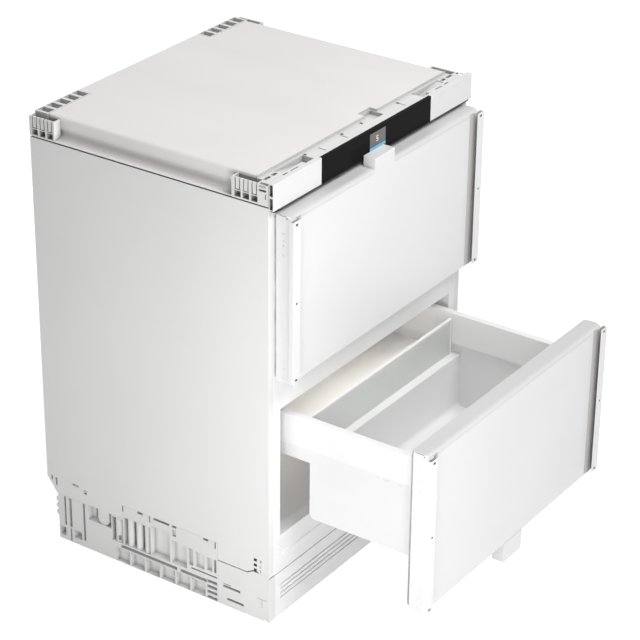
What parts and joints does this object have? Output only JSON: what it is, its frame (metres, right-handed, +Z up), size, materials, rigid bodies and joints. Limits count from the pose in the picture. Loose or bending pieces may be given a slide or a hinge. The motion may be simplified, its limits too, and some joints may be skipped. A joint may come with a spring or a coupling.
{
  "type": "undercounter drawer refrigerator",
  "caption": "Built-in undercounter refrigerator with two pull-out drawers, rails for furniture fronts, a glass control strip and a slotted plinth, shown with the lower drawer partly open.",
  "frame": {"origin": "at floor level, under the middle of the whole part's outline with the lower drawer open", "axes": "+X to the right across the front, +Y to the back, +Z up; the drawers pull out along -Y"},
  "size_m": [0.597, 0.8156, 0.841],
  "materials": {
    "white_paint": "satin",
    "front_paint": "satin",
    "white_plastic": "matte",
    "liner_plastic": "satin",
    "tub_plastic": "satin",
    "foam": "matte",
    "zinc_steel": "satin",
    "black_glass": "gloss",
    "black_steel": "satin",
    "dark_plastic": "matte",
    "gasket_rubber": "matte",
    "aluminium": "satin",
    "frosted_plastic": "satin",
    "light_diffuser": "matte"
  },
  "bodies": {
    "cabinet": {"side_panel_left": "white_paint", "corner_block_rear_left": "white_plastic", "corner_block_front_left": "white_plastic", "plinth_side_left": "white_plastic", "plinth_cover_left": "white_plastic", "side_panel_right": "white_paint", "corner_block_rear_right": "white_plastic", "corner_block_front_right": "white_plastic", "plinth_side_right": "white_plastic", "plinth_cover_right": "white_plastic", "back_panel": "white_paint", "top_cover": "white_plastic", "top_front_rail": "white_plastic", "fascia": "front_paint", "control_glass": "black_glass", "control_module": "dark_plastic", "face_frame": "front_paint", "inner_liner": "liner_plastic", "insulation_foam": "foam", "evaporator_plate": "aluminium", "led_strip_upper": "light_diffuser", "led_strip_lower": "light_diffuser", "kick_grille": "white_plastic", "base_tray": "zinc_steel", "inlet_bracket": "zinc_steel", "mains_inlet": "dark_plastic", "compressor": "black_steel", "drip_tray": "dark_plastic", "condenser": "aluminium", "fan_shroud": "dark_plastic", "upper_cabinet_runner_left": "zinc_steel", "upper_cabinet_runner_right": "zinc_steel", "lower_cabinet_runner_left": "zinc_steel", "lower_cabinet_runner_right": "zinc_steel"},
    "upper_drawer": {"upper_drawer_side_left": "front_paint", "upper_fixing_rail_left": "white_paint", "upper_drawer_side_right": "front_paint", "upper_fixing_rail_right": "white_paint", "upper_front": "front_paint", "upper_gasket": "gasket_rubber", "upper_tub": "tub_plastic", "upper_bracket": "front_paint"},
    "lower_drawer": {"lower_drawer_side_left": "front_paint", "lower_fixing_rail_left": "white_paint", "lower_drawer_side_right": "front_paint", "lower_fixing_rail_right": "white_paint", "lower_front": "front_paint", "lower_gasket": "gasket_rubber", "lower_tub": "tub_plastic", "lower_bracket": "front_paint"},
    "upper_runners": {"upper_middle_runner_left": "zinc_steel", "upper_middle_runner_right": "zinc_steel"},
    "lower_runners": {"lower_middle_runner_left": "zinc_steel", "lower_middle_runner_right": "zinc_steel"},
    "lower_divider": {"lower_divider": "frosted_plastic"},
    "condenser_fan": {"condenser_fan": "dark_plastic"},
    "foot_front_left": {"foot_front_left": "dark_plastic"},
    "foot_front_right": {"foot_front_right": "dark_plastic"},
    "foot_rear_left": {"foot_rear_left": "dark_plastic"},
    "foot_rear_right": {"foot_rear_right": "dark_plastic"}
  },
  "joints": [
    {"name": "upper_drawer_slide", "type": "slide", "parent": "cabinet", "child": "upper_drawer", "axis": [0, -1, 0], "range_m": [0, 0.4]},
    {"name": "lower_drawer_slide", "type": "slide", "parent": "cabinet", "child": "lower_drawer", "axis": [0, -1, 0], "range_m": [-0.272, 0.128]},
    {"name": "upper_runner_slide", "type": "slide", "parent": "cabinet", "child": "upper_runners", "axis": [0, -1, 0], "range_m": [0, 0.2]},
    {"name": "lower_runner_slide", "type": "slide", "parent": "cabinet", "child": "lower_runners", "axis": [0, -1, 0], "range_m": [-0.136, 0.064]},
    {"name": "lower_divider_slide", "type": "slide", "parent": "lower_drawer", "child": "lower_divider", "axis": [0, 1, 0], "range_m": [0, 0.15]},
    {"name": "condenser_fan_spin", "type": "hinge", "parent": "cabinet", "child": "condenser_fan", "pos_m": [-0.13, 0.31645, 0.0895], "axis": [0, 1, 0], "continuous": true},
    {"name": "foot_front_left_height", "type": "slide", "parent": "cabinet", "child": "foot_front_left", "axis": [0, 0, -1], "range_m": [0, 0.05]},
    {"name": "foot_front_right_height", "type": "slide", "parent": "cabinet", "child": "foot_front_right", "axis": [0, 0, -1], "range_m": [0, 0.05]},
    {"name": "foot_rear_left_height", "type": "slide", "parent": "cabinet", "child": "foot_rear_left", "axis": [0, 0, -1], "range_m": [0, 0.05]},
    {"name": "foot_rear_right_height", "type": "slide", "parent": "cabinet", "child": "foot_rear_right", "axis": [0, 0, -1], "range_m": [0, 0.05]}
  ],
  "couplings": [
    {"joint": "upper_runner_slide", "follows": "upper_drawer_slide", "ratio": 0.5},
    {"joint": "lower_runner_slide", "follows": "lower_drawer_slide", "ratio": 0.5}
  ]
}
